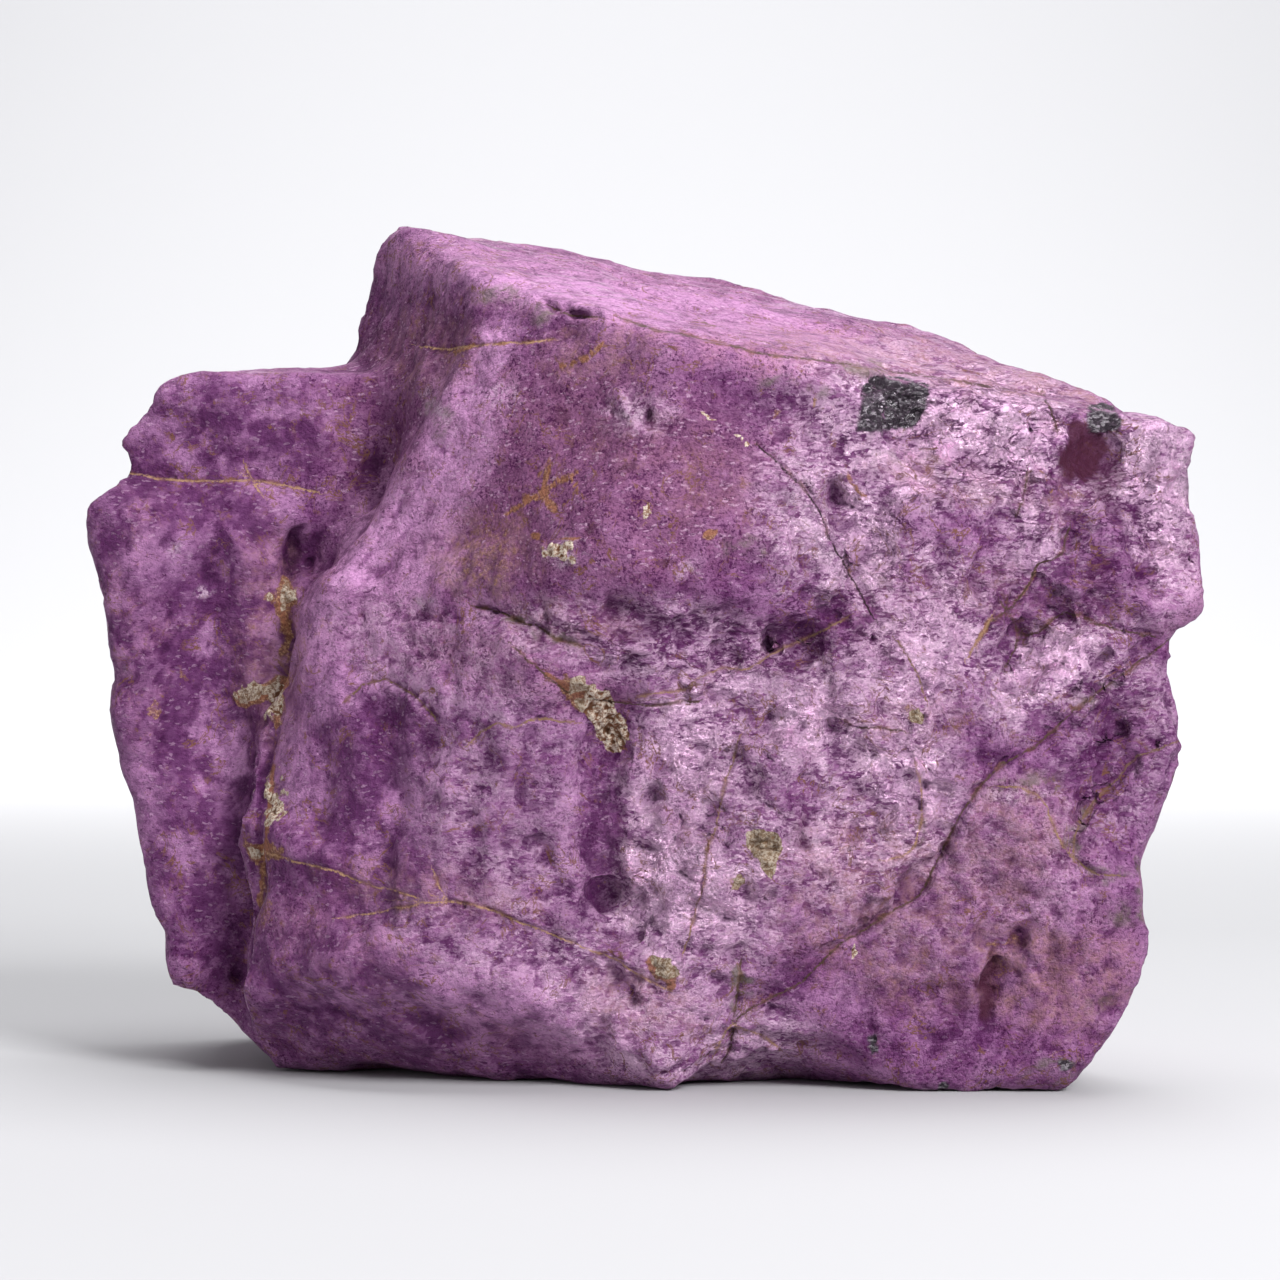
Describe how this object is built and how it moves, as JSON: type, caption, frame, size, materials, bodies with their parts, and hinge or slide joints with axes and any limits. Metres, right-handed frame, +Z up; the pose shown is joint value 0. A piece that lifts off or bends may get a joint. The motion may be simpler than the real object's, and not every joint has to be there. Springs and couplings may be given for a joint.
{
  "type": "purpurite specimen",
  "caption": "Rough purple purpurite: a cleaved block with a sloping top, a bulging front, a lower ledge at one side and a flat spot to rest on.",
  "frame": {"origin": "middle of the bounding box of the stone, at the level of the flat spot it rests on", "axes": "+Z up; +X along the stone's length, to the right when its bulging front is seen; +Y from the front to the back"},
  "size_m": [0.06, 0.036, 0.0474],
  "materials": {
    "purpurite": "rough broken mineral with a satin sheen, ochre stains in its cracks, cream crusts and near-black inclusions"
  },
  "bodies": {
    "root": {"purpurite_stone": "purpurite"}
  },
  "joints": []
}
